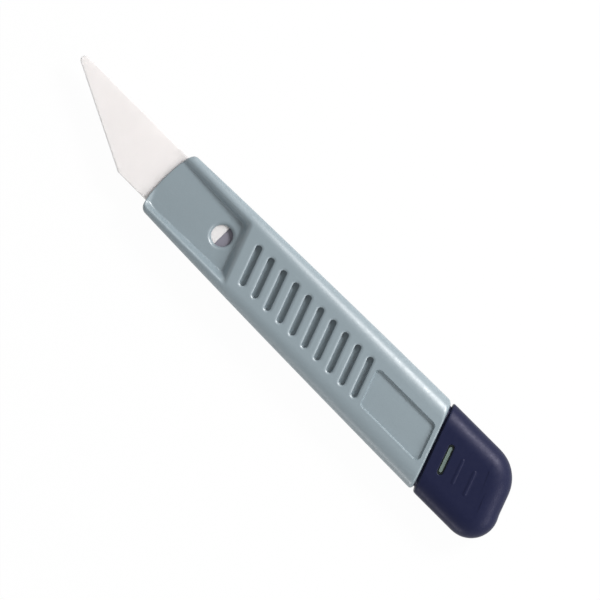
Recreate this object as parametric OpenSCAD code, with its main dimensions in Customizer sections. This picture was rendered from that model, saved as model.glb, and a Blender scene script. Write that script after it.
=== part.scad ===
// Trimming knife with a ceramic blade, a hollow moulded handle and an end cap that snaps in place.
// +X runs along the knife to the blade's tip, +Y to the cutting edge's heel, +Z out of the gripped face.
// The origin is under the middle of the knife, on the surface it lies on.

/* [Handle] */
// Length of the handle on its axis, from the mouth to the slanted rear edge
handle_l = 99.7; // [97:0.1:130]
// Width of the handle at the mouth
mouth_w = 20.3; // [19.6:0.1:26]
// Width of the handle at the rear edge
rear_w = 23.8; // [23:0.1:30]
// How far each long side bows out between mouth and rear
side_bow = 0.25; // [0:0.05:1]
// Thickness of the grip
handle_t = 11; // [10:0.1:16]
// Thickness of the rim at the mouth
mouth_t = 7.6; // [6.4:0.1:9]
// Radius of the handle's long edges at the mouth
mouth_edge_r = 1.4; // [0.8:0.1:3]
// Radius of the handle's long edges at the rear, and of the cap's
edge_r = 3.6; // [3:0.1:4.5]
// Radius of the mouth's corners, seen from above
mouth_r = 1.9; // [0.5:0.1:4]
// Slant of the recess end, grooves, panel and rear edge
slant = 20; // [0:1:30]

/* [Finger recess] */
// Length of the recess on the axis, from the mouth to the top of its rear wall
recess_l = 27; // [25:0.1:34]
// Thickness left between the recesses of the two faces
recess_t = 5.8; // [5:0.1:7]
// Width of the recess at its rim
recess_w = 16.9; // [10:0.1:18]
// Width of the recess's sloping wall, seen from above
recess_slope = 1.6; // [0.5:0.1:3]
// Diameter of the window over the end of the tang
window_d = 6.1; // [3:0.1:7]

/* [Grip grooves] */
// Number of grooves on each face
groove_count = 10; // [1:1:12]
// Distance from the recess's rear wall to the first groove
groove_gap = 5.6; // [3:0.1:12]
// Distance between grooves along the handle
groove_pitch = 4.63; // [2.5:0.01:5]
// Width of a groove
groove_w = 1.6; // [0.6:0.1:2]
// Length of a groove
groove_l = 11.7; // [6:0.1:14]
// Depth of a groove
groove_deep = 1.5; // [0.3:0.1:1.8]

/* [Panel] */
// Length of the shallow panel along the handle
panel_l = 21.4; // [8:0.1:24]
// Height of the panel across the handle
panel_h = 10.1; // [5:0.1:14]
// Depth of the panel
panel_deep = 0.6; // [0.1:0.05:0.8]
// Radius of the panel's corners
panel_r = 1.2; // [0.3:0.1:2.4]
// Strip left between the panel and the rear edge
panel_gap = 1.7; // [1:0.1:6]

/* [Blade] */
// Length of the blade with its tang
blade_l = 59.5; // [56:0.1:66]
// Width of the blade
blade_w = 16; // [12:0.1:17]
// Thickness of the blade
blade_t = 1.2; // [0.6:0.05:1.4]
// Length of the blade in front of the mouth
blade_out = 38; // [34:0.1:42]
// Length of the cutting edge along the knife
edge_l = 28.2; // [15:0.1:34]
// Radius of the blunt tip
tip_r = 1.25; // [0.5:0.05:3]
// Width of the ground bevels at the cutting edge
bevel_w = 0.7; // [0.3:0.1:3]
// Thickness left at the cutting edge
bevel_t = 0.12; // [0.05:0.01:0.4]
// How far the blade lies off the axis, towards its spine
blade_shift = 0.5; // [0:0.1:1]

/* [Inside] */
// Clearance on each side between fitted pieces
fit = 0.1; // [0.05:0.01:0.2]
// Gap left at the end of a fitted piece
end_gap = 0.5; // [0.4:0.1:0.8]
// Wall between the recess floor and the blade's passage
nose_wall = 1.3; // [0.8:0.05:1.6]
// Height of the hollow behind the passage
hollow_h = 5.4; // [5:0.1:6]
// Distance from the mouth to the front of the blade block
block_back = 1; // [0.5:0.1:2]
// Floor of the blade block under the spring
block_floor = 0.8; // [0.5:0.05:1]
// Length of the block's flange in the hollow
flange_l = 3; // [2.4:0.1:5]
// Reach of the barbs that lock the block in the handle
barb_out = 0.5; // [0.3:0.1:0.8]
// Thickness of the leaf spring
leaf_t = 0.3; // [0.15:0.05:0.4]
// Width of the leaf spring
leaf_w = 8; // [7:0.1:12]
// Distance from the mouth to the spring's free end
leaf_start = 3; // [1.5:0.1:6]
// Length of the spring's flat foot
leaf_foot = 4.5; // [3.5:0.1:6]
// Diameter of a rivet's shank
rivet_d = 1.8; // [1:0.1:2.2]
// Diameter of a rivet's head
rivet_head_d = 3; // [2.4:0.1:3.4]
// Distance between the two rivets
rivet_pitch = 4.4; // [3.6:0.1:5]

/* [Spare tray] */
// Web of the tray
web_t = 1.3; // [0.8:0.1:1.6]
// Rail on each side of the tray
rail_t = 1; // [0.6:0.1:1.2]
// Reach and height of the lips that hold the spare blade
lip = 0.5; // [0.3:0.1:0.7]
// Length of a lip
lip_l = 4; // [2:0.1:6]
// Number of sight slots in the web
sight_count = 3; // [1:1:5]
// Width of a sight slot
sight_w = 5.4; // [2:0.1:8]
// Web left between two sight slots
sight_gap = 6; // [3:0.1:10]
// Width of the tray's tail in the cap
tail_w = 12; // [8:0.1:13]
// Length of the tail in the cap
tail_l = 7; // [6:0.1:9]
// Diameter of the tail's snap pegs
peg_d = 4; // [2:0.1:5]
// Height of the tail's snap pegs
peg_h = 0.5; // [0.2:0.1:0.8]

/* [Cap] */
// How far the cap stands out past the handle's sides
cap_proud = 0.2; // [0:0.05:0.5]
// Length of the cap from its slanted front to the centre of the rear corner by the spine
cap_l = 13; // [12:0.1:20]
// How much further back the centre of the other rear corner lies
cap_step = 5.8; // [5:0.1:9]
// Radius of the rear corner on the spine side
spine_corner_r = 10.5; // [9:0.1:12]
// Radius of the rear corner on the heel side
heel_corner_r = 7.4; // [6:0.1:9]
// Where the slanted rear edge stops, from the axis towards the heel side
rear_edge_y = 0.3; // [-2:0.1:2]
// Radius of the dip in which the slanted rear edge meets the corner on the heel side
dip_r = 5; // [4:0.1:6]
// Wall of the cap over the spigot
cap_wall = 1.6; // [1.2:0.1:1.8]
// Width of the cored pockets in the cap, one on each side of the tail
core_w = 2.4; // [1:0.1:3]
// Depth of the cored pockets
core_l = 4; // [1:0.1:4.5]
// Gap between the handle and the cap
joint_gap = 0.6; // [0.2:0.1:1]
// Length of the spigot behind the rear edge
spigot_l = 12; // [11:0.1:13]
// Height of the two low ribs on the cap
rib_h = 0.2; // [0.1:0.05:0.5]
// Width of a rib
rib_w = 0.8; // [0.4:0.1:1.5]
// Length of a rib
rib_l = 7.2; // [4:0.1:9]
// Distance from the slot to the first rib, and on to the second
rib_pitch = 4.4; // [3:0.1:5]

/* [Latch] */
// Distance from the cap's front edge to the middle of the slot
slot_back = 4.4; // [3.6:0.1:5]
// Length of the slot in the cap
slot_l = 8.6; // [6:0.1:10]
// Width of the slot in the cap
slot_w = 1.6; // [1.4:0.1:2.2]
// Gap between the latch's nub and the slot
nub_gap = 0.35; // [0.2:0.05:0.5]
// How far the nub reaches into the slot
nub_catch = 0.9; // [0.4:0.1:1.2]
// How far the tongue reaches past each end of the slot
latch_edge = 0.5; // [0.3:0.1:1]
// Length of the tongue behind the slot
latch_lip = 2; // [1:0.1:2.4]
// Width of the slit round the tongue
slit_w = 0.5; // [0.3:0.1:0.8]

/* [Hidden] */
$fn = 64;
loft_fn = 32;
disc_fn = 48;
bow_fn = 360;
thin = 0.01;
over = 1;
mid = handle_t / 2;
slope = tan(slant);

// Edges of the blade
tang_l = blade_l - blade_out;
spine_y = -blade_w / 2 - blade_shift;
heel_y = blade_w / 2 - blade_shift;
tip_centre = [blade_out - tip_r, spine_y + tip_r];
heel = [blade_out - edge_l, heel_y];
to_tip = tip_centre - heel;
edge_angle = atan2(to_tip[1], to_tip[0]) + asin(tip_r / norm(to_tip));

// Distances behind the mouth, on the axis
step_u = recess_l + recess_w / 2 * slope + nose_wall;
flange_end = step_u + flange_l;
cap_front = handle_l + joint_gap;
slot_u = cap_front + slot_back;
spigot_end = handle_l + spigot_l;
cap_end = cap_front + cap_l + max(cap_step + heel_corner_r, spine_corner_r);
mouth_x = (cap_end - blade_out) / 2;

// Heights from the middle of the thickness
passage_h = recess_t - 2 * nose_wall;
blade_top = passage_h / 2 - fit;
blade_bottom = blade_top - blade_t;
floor_bottom = -passage_h / 2 + fit / 2;
floor_top = floor_bottom + block_floor;
stop_top = blade_top - blade_t / 2;

// Leaf spring: its foot, and the arc that bows up to the blade
foot_end = tang_l - end_gap;
foot_start = foot_end - leaf_foot;
rivet_u = (foot_start + foot_end) / 2;
bow_half = (foot_start - leaf_start) / 2;
bow_rise = blade_bottom - fit / 2 - leaf_t - floor_top;
bow_r = (bow_half * bow_half + bow_rise * bow_rise) / (2 * bow_rise);
rivet_hole_d = rivet_d + fit / 2;
rivet_head_h = (blade_bottom - floor_top - leaf_t) / 2;

// Tray with its pocket and tail
pocket_w = blade_w + 2 * fit;
tray_w = pocket_w + 2 * rail_t;
hollow_w = tray_w + 2 * fit;
tray_h = hollow_h - 2 * fit;
tray_front = flange_end + end_gap;
pocket_front = tray_front + rail_t;
pocket_end = pocket_front + blade_l + 2 * fit;
tray_end = spigot_end - rail_t;
web_bottom = -tray_h / 2 + lip + blade_t + fit;
web_top = web_bottom + web_t;

// Rear corners of the cap and its slanted rear edge, as distances behind the mouth and across
cap_w = rear_w + 2 * cap_proud;
out_of_edge = [cos(slant), -sin(slant)];
spine_corner = [cap_front + cap_l, spine_corner_r - cap_w / 2];
heel_corner = [spine_corner[0] + cap_step, cap_w / 2 - heel_corner_r];
edge_start = spine_corner + spine_corner_r * out_of_edge;
edge_end = edge_start + (rear_edge_y - edge_start[1]) * [slope, 1];
dip_corner = edge_end - dip_r * out_of_edge;

// Spigot, and the cap's socket over it
socket_w = cap_w - 2 * cap_wall;
socket_t = handle_t - 2 * cap_wall;
socket_r = max(edge_r - cap_wall, 4 * fit);
socket_end = spigot_end + end_gap;
spigot_w = socket_w - 2 * fit;
spigot_t = socket_t - 2 * fit;
tail_end = socket_end + tail_l;
peg_u = socket_end + tail_l / 2;

// Latch tongue in the spigot's wall
latch_root = cap_front + end_gap;
latch_end = slot_u + slot_w / 2 + latch_lip;
latch_w = slot_l + 2 * latch_edge;
nub_w = slot_w - 2 * nub_gap;
nub_l = slot_l - 4 * nub_gap;
nub_top = spigot_t / 2 + fit + nub_catch;

// Half width of the handle at a distance u behind the mouth
function half_w(u) = let (t = u / handle_l)
  mouth_w / 2 + (rear_w - mouth_w) / 2 * t + 4 * side_bow * t * max(1 - t, 0);

// Thickness of the handle there: the nose tapers along the recess, the grip is even
function thick(u) = min(mouth_t + (handle_t - mouth_t) * u / recess_l, handle_t);

// Radius of the handle's long edges there
function long_edge(u) = mouth_edge_r + (edge_r - mouth_edge_r) * u / handle_l;

// Places children at a distance u behind the mouth, in the middle of the thickness
module at(u) {
  translate([mouth_x - u, 0, mid]) children();
}

// Box between two distances behind the mouth, two sides and two heights
module block(u0, u1, y0, y1, z0, z1) {
  at(u1) translate([0, y0, z0]) cube([u1 - u0, y1 - y0, z1 - z0]);
}

// Box that is even about the axis
module even_block(u0, u1, w, z0, z1) {
  block(u0, u1, -w / 2, w / 2, z0, z1);
}

// Outline across the knife, drawn out from u0 to u1
module across(u0, u1) {
  at(u1) rotate([90, 0, 90]) linear_extrude(u1 - u0) children();
}

// Outline seen from above, drawn out between two heights
module upright(u, z0, z1) {
  at(u) translate([0, 0, z0]) linear_extrude(z1 - z0) children();
}

// Everything behind the slanted plane that crosses the axis at u
module behind(u) {
  far = 2 * handle_l;
  at(u) rotate([0, 0, slant]) translate([-far, -far / 2, -far / 2]) cube(far);
}

// Rectangle with round corners
module round_rect(w, h, r) {
  square([w, h - 2 * r], center = true);
  square([w - 2 * r, h], center = true);
  for (y = [-1, 1], z = [-1, 1])
    translate([y * (w / 2 - r), z * (h / 2 - r)]) circle(r);
}

// Bar with round ends across the axis
module bar(length, w) {
  square([w, length - w], center = true);
  for (s = [-1, 1])
    translate([0, s * (length - w) / 2]) circle(w / 2);
}

// Slanted four-sided outline that ends at two distances behind the mouth
module slanted(u0, u1, w) {
  y = w / 2;
  polygon([[-u0 + y * slope, -y], [-u1 + y * slope, -y], [-u1 - y * slope, y], [-u0 - y * slope, y]]);
}

// Slanted four-sided outline with round corners, about its own middle
module slanted_panel(length, h, r) {
  side = length / 2 - r / cos(slant);
  rise = h / 2 - r;
  lean = rise * slope;
  out = r * [cos(slant), sin(slant)];
  polygon([[-side + lean, -h / 2], [side + lean, -h / 2], [side - lean, h / 2], [-side - lean, h / 2]]);
  polygon([[side + lean, -rise] + out, [side - lean, rise] + out, [-side - lean, rise] - out,
    [-side + lean, -rise] - out]);
  for (s = [-1, 1], t = [-1, 1])
    translate([s * side - t * lean, t * rise]) circle(r);
}

// One cross section of the handle, drawn in at the sides
module handle_slice(u, inset = 0) {
  t = thick(u);
  across(u, u + thin) round_rect(2 * (half_w(u) - inset), t, min(long_edge(u), t / 2 - thin), $fn = loft_fn);
}

// Outside of the handle, lofted from the rounded mouth to past the rear edge
module handle_form() {
  loft_end = handle_l + rear_w / 2 * slope;
  hull() {
    for (a = [0, 30, 60, 90])
      handle_slice(mouth_r * (1 - cos(a)), mouth_r * (1 - sin(a)));
    for (t = [0, 0.25, 0.5, 0.75, 1])
      handle_slice(recess_l + (loft_end - recess_l) * t);
  }
}

// Finger recess of the upper face: a flat floor with sloping walls, open at the mouth
module recess() {
  deep_mouth = (mouth_t - recess_t) / 2;
  deep_rear = (handle_t - recess_t) / 2;
  rim = recess_w / 2;
  foot_mouth = rim - recess_slope * deep_mouth / deep_rear;
  foot_rear = rim - recess_slope;
  floor_l = recess_l - recess_slope;
  hull() {
    upright(0, recess_t / 2, recess_t / 2 + thin)
      polygon([[over, -foot_mouth], [over, foot_mouth], [-floor_l - foot_rear * slope, foot_rear],
        [-floor_l + foot_rear * slope, -foot_rear]]);
    upright(0, mid, mid + over)
      polygon([[over, -foot_mouth - recess_slope], [over, foot_mouth + recess_slope],
        [-recess_l - rim * slope, rim], [-recess_l + rim * slope, -rim]]);
  }
}

// Slanted grip grooves of the upper face
module grooves() {
  for (i = [0 : groove_count - 1])
    upright(recess_l + groove_gap + i * groove_pitch, mid - groove_deep, mid + over)
      rotate(slant) bar(groove_l, groove_w);
}

// Turns what is cut in the upper face over to the lower one
module lower_face() {
  translate([0, 0, handle_t]) mirror([0, 0, 1]) children();
}

// Pockets or barbs that lock the block behind the passage, each grown by the given gap
module barbs(gap) {
  side = hollow_w / 2 - fit;
  start = step_u + flange_l / 4;
  end = start + flange_l / 2;
  for (s = [-1, 1])
    upright(0, -hollow_h / 4 - gap, hollow_h / 4 + gap)
      polygon([[-start + gap, s * (side - over / 2)], [-start + gap, s * (side + gap)],
        [-end - gap, s * (side + barb_out + gap)], [-end - gap, s * (side - over / 2)]]);
}

// One-piece moulded handle with its spigot for the cap
module handle_sleeve() {
  spigot_root = handle_l - spigot_w / 2 * slope - 2 * over;
  color("#8f9aa0")
    difference() {
      union() {
        difference() {
          handle_form();
          behind(handle_l);
        }
        across(spigot_root, spigot_end) round_rect(spigot_w, spigot_t, socket_r);
      }
      recess();
      grooves();
      lower_face() recess();
      lower_face() grooves();
      upright(handle_l - panel_gap - panel_l / 2, mid - panel_deep, mid + over)
        slanted_panel(panel_l, panel_h, panel_r);
      at(tang_l) cylinder(d = window_d, h = mid);
      block(-over, step_u + over, spine_y - fit, heel_y + fit, -passage_h / 2, passage_h / 2);
      even_block(step_u, spigot_end + over, hollow_w, -hollow_h / 2, hollow_h / 2);
      barbs(fit);
      upright(0, hollow_h / 2 - over, spigot_t / 2 + over)
        slanted(latch_root, latch_end + slit_w, latch_w + 2 * slit_w);
    }
}

// Block in the handle's nose: it carries the spring and stops the tang
module blade_block() {
  flange_start = step_u + fit / 2;
  color("#77757f")
    difference() {
      union() {
        block(block_back, flange_end, spine_y, heel_y, floor_bottom, floor_top);
        block(tang_l + fit / 2, flange_end, spine_y, heel_y, floor_bottom, stop_top);
        even_block(flange_start, flange_end, hollow_w - 2 * fit, -hollow_h / 2 + fit, hollow_h / 2 - fit);
        barbs(0);
      }
      rivet_places() translate([0, 0, floor_bottom - over]) cylinder(d = rivet_hole_d, h = 2 * over);
    }
}

// Places of the two rivets in the spring's foot
module rivet_places() {
  for (s = [-1, 1])
    at(rivet_u) translate([0, s * rivet_pitch / 2 - blade_shift, 0]) children();
}

// Bowed leaf spring under the tang
module clamp_spring() {
  bow_top = floor_top + bow_rise + leaf_t;
  color("silver")
    translate([0, -blade_shift, 0])
      difference() {
        union() {
          even_block(foot_start - thin, foot_end, leaf_w, floor_top, floor_top + leaf_t);
          at((leaf_start + foot_start) / 2)
            translate([0, leaf_w / 2, 0])
              rotate([90, 0, 0])
                linear_extrude(leaf_w)
                  intersection() {
                    translate([0, floor_top + bow_rise - bow_r])
                      difference() {
                        circle(bow_r + leaf_t, $fn = bow_fn);
                        circle(bow_r, $fn = bow_fn);
                      }
                    translate([-bow_half, floor_top]) square([2 * bow_half, bow_top - floor_top]);
                  }
        }
        translate([0, blade_shift, 0])
          rivet_places() translate([0, 0, floor_top - over]) cylinder(d = rivet_hole_d, h = 2 * over);
      }
}

// Two rivets that hold the spring's foot on the block
module spring_rivets() {
  color("gray")
    rivet_places() {
      translate([0, 0, floor_bottom]) cylinder(d = rivet_d, h = block_floor + leaf_t + thin);
      translate([0, 0, floor_top + leaf_t]) cylinder(d = rivet_head_d, h = rivet_head_h);
    }
}

// Outline of the blade, with the mouth at x = 0
module blade_outline() {
  edge_end = tip_centre + tip_r * [-sin(edge_angle), cos(edge_angle)];
  polygon([[-tang_l, spine_y], [tip_centre[0], spine_y], tip_centre, edge_end, heel, [-tang_l, heel_y]]);
  translate(tip_centre) circle(tip_r);
}

// Blade about the middle of its thickness, with both bevels ground along the cutting edge
module blade_solid() {
  drop = (blade_t - bevel_t) / 2;
  run_out = 3 * bevel_w;
  difference() {
    translate([0, 0, -blade_t / 2]) linear_extrude(blade_t) blade_outline();
    for (side = [0, 1])
      mirror([0, 0, side])
        translate(heel)
          rotate([0, 0, edge_angle])
            translate([-run_out, 0, 0])
              rotate([90, 0, 90])
                linear_extrude(norm(to_tip) + 2 * run_out)
                  polygon([[-bevel_w, blade_t / 2], [bevel_w, bevel_t / 2 - drop], [bevel_w, blade_t],
                    [-bevel_w, blade_t]]);
  }
}

// Blade in use
module ceramic_blade() {
  color("#f0ece9")
    at(0) translate([0, 0, blade_bottom + blade_t / 2]) blade_solid();
}

// Spare blade in the tray
module spare_blade() {
  color("#f0ece9")
    at(pocket_front + fit + blade_out)
      translate([0, blade_shift, web_bottom - fit / 2 - blade_t / 2]) blade_solid();
}

// Tray that slides in the hollow handle, with a tail that snaps into the cap
module spare_tray() {
  sight_pitch = blade_l / sight_count;
  color("#8f9aa0")
    difference() {
      union() {
        for (s = [-1, 1])
          translate([0, s * (pocket_w + rail_t) / 2, 0])
            even_block(tray_front, tray_end, rail_t, -tray_h / 2, tray_h / 2);
        even_block(tray_front, tray_end, tray_w - rail_t, web_bottom, web_top);
        even_block(tray_front, pocket_front, tray_w - rail_t, -tray_h / 2, web_top);
        even_block(pocket_end, pocket_end + rail_t, tray_w - rail_t, -tray_h / 2, web_top);
        for (s = [-1, 1], u = [pocket_end - 2 * lip_l, pocket_end - blade_l / 3 - lip_l])
          translate([0, s * (pocket_w - lip + rail_t) / 2, 0])
            even_block(u, u + lip_l, lip + rail_t, -tray_h / 2, lip - tray_h / 2);
        even_block(tray_end - rail_t, tail_end, tail_w, web_bottom, web_top);
        at(peg_u) translate([0, 0, web_bottom - peg_h]) cylinder(d = peg_d, h = web_t + 2 * peg_h);
      }
      for (i = [0 : sight_count - 1])
        upright(pocket_front + sight_pitch * (i + 0.5), web_bottom - over, web_top + over)
          rotate(90) bar(sight_pitch - sight_gap, sight_w);
    }
}

// Rounded disc that shapes a rear corner of the cap
module corner_disc(corner, r) {
  at(corner[0])
    translate([0, corner[1], 0])
      rotate_extrude($fn = disc_fn)
        intersection() {
          round_rect(2 * r, handle_t, edge_r, $fn = loft_fn);
          translate([0, -handle_t]) square([2 * r, 2 * handle_t]);
        }
}

// Section that the front of the cap takes over from the handle
module cap_slice() {
  loft_start = cap_front - cap_w / 2 * slope - over;
  across(loft_start, loft_start + thin) round_rect(cap_w, handle_t, edge_r, $fn = loft_fn);
}

// Outside of the cap, lofted from its front to the rear corners, with a dip between the two lofts
module cap_form() {
  hull() {
    cap_slice();
    corner_disc(spine_corner, spine_corner_r);
    corner_disc(dip_corner, dip_r);
  }
  hull() {
    cap_slice();
    corner_disc(heel_corner, heel_corner_r);
  }
}

// Cap with a socket over the spigot, a slot for the latch and two low ribs
module end_cap() {
  color("#262a43")
    difference() {
      union() {
        intersection() {
          cap_form();
          behind(cap_front);
        }
        for (i = [1, 2])
          upright(slot_u + i * rib_pitch, mid - over, mid + rib_h) rotate(slant) bar(rib_l, rib_w);
      }
      across(0, socket_end) round_rect(socket_w, socket_t, socket_r);
      even_block(socket_end - over, tail_end + fit, tail_w + 2 * fit, web_bottom - fit, web_top + fit);
      at(peg_u)
        translate([0, 0, web_bottom - peg_h - fit])
          cylinder(d = peg_d + 2 * fit, h = web_t + 2 * (peg_h + fit));
      for (s = [-1, 1])
        translate([0, s * (socket_w / 2 - core_w), 0])
          even_block(socket_end - over, socket_end + core_l, core_w, -socket_t / 3, socket_t / 3);
      upright(slot_u, socket_t / 2 - over, mid + over) rotate(slant) bar(slot_l, slot_w);
    }
}

// Snap tongue of the spigot, with the nub that shows in the cap's slot
module latch_tongue() {
  color("#8f9aa0") {
    upright(0, hollow_h / 2, spigot_t / 2) slanted(latch_root, latch_end, latch_w);
    upright(slot_u, spigot_t / 2 - thin, nub_top) rotate(slant) bar(nub_l, nub_w);
  }
}

handle_sleeve();
blade_block();
clamp_spring();
spring_rivets();
ceramic_blade();
end_cap();
spare_tray();
spare_blade();
latch_tongue();
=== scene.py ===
"""Trimming knife with a ceramic blade: its looks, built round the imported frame."""

import math

import bmesh
import bpy
import numpy as np
from mathutils import Matrix, Vector


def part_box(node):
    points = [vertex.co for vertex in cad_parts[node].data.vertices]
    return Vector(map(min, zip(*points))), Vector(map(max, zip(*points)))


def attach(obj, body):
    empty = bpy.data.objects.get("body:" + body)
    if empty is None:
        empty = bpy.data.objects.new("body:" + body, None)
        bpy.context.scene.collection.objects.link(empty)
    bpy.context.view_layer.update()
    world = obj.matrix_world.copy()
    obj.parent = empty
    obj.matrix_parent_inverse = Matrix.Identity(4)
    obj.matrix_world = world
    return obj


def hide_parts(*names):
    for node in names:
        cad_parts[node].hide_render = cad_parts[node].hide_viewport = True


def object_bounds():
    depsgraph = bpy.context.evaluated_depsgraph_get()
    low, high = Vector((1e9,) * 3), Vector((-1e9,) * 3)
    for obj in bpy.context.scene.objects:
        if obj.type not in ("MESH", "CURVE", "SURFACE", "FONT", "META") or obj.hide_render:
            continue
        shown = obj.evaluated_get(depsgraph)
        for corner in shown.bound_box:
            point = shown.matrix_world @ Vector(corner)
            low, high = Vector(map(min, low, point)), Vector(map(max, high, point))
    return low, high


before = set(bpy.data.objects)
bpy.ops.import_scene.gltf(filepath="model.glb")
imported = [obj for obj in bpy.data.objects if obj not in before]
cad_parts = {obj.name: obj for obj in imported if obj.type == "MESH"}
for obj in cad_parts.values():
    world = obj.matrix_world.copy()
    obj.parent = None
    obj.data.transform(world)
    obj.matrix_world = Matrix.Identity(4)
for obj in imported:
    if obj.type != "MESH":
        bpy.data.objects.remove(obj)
cad_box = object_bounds()

# Sizes are in millimetres: u runs back from the handle's mouth, y across to the heel side,
# z up from the middle of the thickness
MM = 0.001
sleeve_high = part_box("handle_sleeve")[1]
cap_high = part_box("end_cap")[1]
MOUTH_X = sleeve_high.x / MM
CAP_SIDE = cap_high.y / MM

# The knife lies on z = 0, so the middle is as high above that as the upper face is above the middle
MID = sleeve_high.z / MM / 2
FACE_Z = MID

# Slant of the recess, the grooves, the panel and the handle's rear end
SLANT = math.radians(20)
SLOPE = math.tan(SLANT)

# Handle. Each rounded edge is a pair: its reach across the face and down the side
HANDLE_L = 99.65
MOUTH_W = 20.1
REAR_W = 24
SIDE_BOW = 0.25
MOUTH_T = 7.6
NOSE_BLEND = 0.3
EDGE_MOUTH = (1.6, 1.2)
EDGE_REAR = (5.2, 3.6)
EDGE_GROWTH = 1.8
MOUTH_R = 1.5
MOUTH_BOW = 1.4
BOW_POWER = 2.4
BOW_FADE = 3
MOUTH_FILLET = 0.4
REAR_FILLET = 0.6
REAR_CORNER = 1.2

# Finger recess with its window. The rises are the slopes of its walls, the lead is how far before its rear
# end the handle's loops lie fully slanted, and the lip is a low rise at the heel corner of the mouth
RECESS_L = 27.7
RECESS_FLOOR = 2.55
RECESS_W = 15.95
RECESS_Y = 0.35
RECESS_SIDE_RISE = 2
RECESS_REAR_RISE = 1.7
RECESS_CORNER = 2
FOOT_BLEND = 0.35
RIM_BLEND = 1.4
RECESS_LEAD = 3
LIP_U = 0.5
LIP_Y = 4.1
LIP_LEAN = 0.5
LIP_RISE = 0.7
LIP_BLEND = 1.8
WINDOW_U = 21.5
WINDOW_D = 5.7
WINDOW_FILLET = 1.1

# Grip grooves, whose rounded rims start at an angle and not upright
GROOVE_COUNT = 10
GROOVE_START = 32.45
GROOVE_PITCH = 4.6
GROOVE_Y = 0.15
GROOVE_W = 1.8
GROOVE_L = 11.65
GROOVE_DEEP = 2
GROOVE_RIM = 1.2
GROOVE_RIM_START = math.radians(54)
GROOVE_FOOT = 0.2

# Shallow panel
PANEL_L = 21.4
PANEL_H = 10.3
PANEL_REAR_GAP = 1.7
PANEL_U = HANDLE_L - PANEL_REAR_GAP - PANEL_L / 2
PANEL_Y = 0.6
PANEL_DEEP = 1
PANEL_CORNER = 1.2
PANEL_SLOPE = 0.5

# Inside of the handle, and the spigot behind it. Widths and heights are half ones. The passage's flare says
# how far behind the mouth it is wider by how much, and the spigot's turn how far behind the handle's slanted
# end it keeps how much of the slant
PASSAGE_END = 31.38
PASSAGE_SPINE = 8.6
PASSAGE_HEEL = 7.6
PASSAGE_H = 1.6
PASSAGE_BOW_POWER = 2
PASSAGE_FLARE = ((MOUTH_FILLET, 0), (MOUTH_FILLET / 3, 0.08), (0, 0.3))
HOLLOW_W = 9.2
HOLLOW_H = 2.7
HOLLOW_R = 0.25
SPIGOT_END = 111.7
SPIGOT_W = 10.4
SPIGOT_H = 3.8
SPIGOT_R = 2
SPIGOT_CHAMFER = 0.4
SPIGOT_TURN = ((0, 1), (4, 0.6), (8, 0.2))

# Cap. Its rear corners are given by their centres as u and y; socket and collar by half widths and heights
CAP_FRONT = 100.35
CAP_FILLET = 0.3
CAP_EDGE = (6, 4.2)
CAP_CORNER = 0.6
SPINE_CORNER = (113.3, -1.6)
SPINE_CORNER_R = 10.5
HEEL_CORNER = (119.1, 4.7)
HEEL_CORNER_R = 7.4
REAR_EDGE_Y = 0.3
SOCKET_W = 10.5
SOCKET_H = 3.9
SOCKET_EDGE = (2, 2)
SOCKET_END = 112.2
# The collar is a dark navy step put under the join of handle and cap so the gap renders black: a dark piece
# placed there as painted shade.
COLLAR_FRONT = 99.75
COLLAR_W = 10.9
COLLAR_H = 4.3
COLLAR_EDGE = (4.4, 3)
RIB_PLACES = (109.1, 113.5)
RIB_L = 7.2
RIB_W = 0.9
RIB_H = 0.14

# Slot in the cap, and the opening in the spigot for the latch tongue
SLOT_U = 104.7
SLOT_L = 8.6
SLOT_W = 1.6
SLOT_FILLET = 0.25
LATCH_START = 100.8
LATCH_END = 108
LATCH_W = 10.6
LATCH_CORNER = 0.3

# Blade: the length of its slanting edge along the knife, its round tip, its bevels and its broken edges
EDGE_L = 28.2
TIP_R = 1.25
TIP_POINTS = 17
UPPER_BEVEL = 0.33
UPPER_DROP = 0.19
LOWER_BEVEL = 0.7
HEEL_BREAK = 0.22
EDGE_BREAK = 0.06

# Room: its light at the sides and overhead, the heights between which that changes, as the upward part of a
# direction, the side on which it is dimmer, and the heights between which the mirrored backdrop fades out
SIDE_LIGHT = 0.76
OVERHEAD_LIGHT = 0.42
LIGHT_HEIGHTS = (0.5, 0.9)
DIM_SIDE = (0.27, 0.48, 0)
BACKDROP_HEIGHTS = (0.2, 0.5)

# Floor: half its width in metres, its paper's colour, and its share of plain white for what looks at it
FLOOR_REACH = 8
FLOOR_COLOUR = (0.9, 0.9, 0.9, 1)
FLOOR_GLOW = 0.97

# Camera: the point that it looks at as x and y, the width of its view there, its lens and its nearest sight
CAMERA_AIM = (-3.75, -2.6)
VIEW_W = 158.4
CAMERA_LENS = 200
CAMERA_SENSOR = 36
CAMERA_NEAR = 10

# Cutters: how far they stand out beyond what they cut, how far a rounded rim runs out above the face after
# how much of its turn, and how far an eased wall rises as a share of its height
CUT_OVER = 1
RIM_OVER = 0.03
RIM_END = math.radians(80)
WALL_OVER = 1.04

# Lines of the grid across a face of the handle: those at set places, and the number round each edge
INNER_Y = 7
INNER_LINES = np.concatenate([np.linspace(0, 5, 9), np.linspace(5.15, INNER_Y, 14)])
EDGE_LINES = 30

# Loops of the handle: their spacing behind the mouth, along the recess, at its rear wall and along the grip,
# their number round the corners of the mouth and the rear end, where the first and the third spacing hold,
# and the decimals by which loops that coincide are found
MOUTH_STEP = 0.25
RECESS_STEP = 0.6
WALL_STEP = 0.2
GRIP_STEP = 0.7
MOUTH_CORNER_LOOPS = 9
REAR_LOOPS = 7
MOUTH_ZONE = 4
WALL_ZONE = (RECESS_L - 4, RECESS_L + 2)
LOOP_DECIMALS = 4

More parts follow.
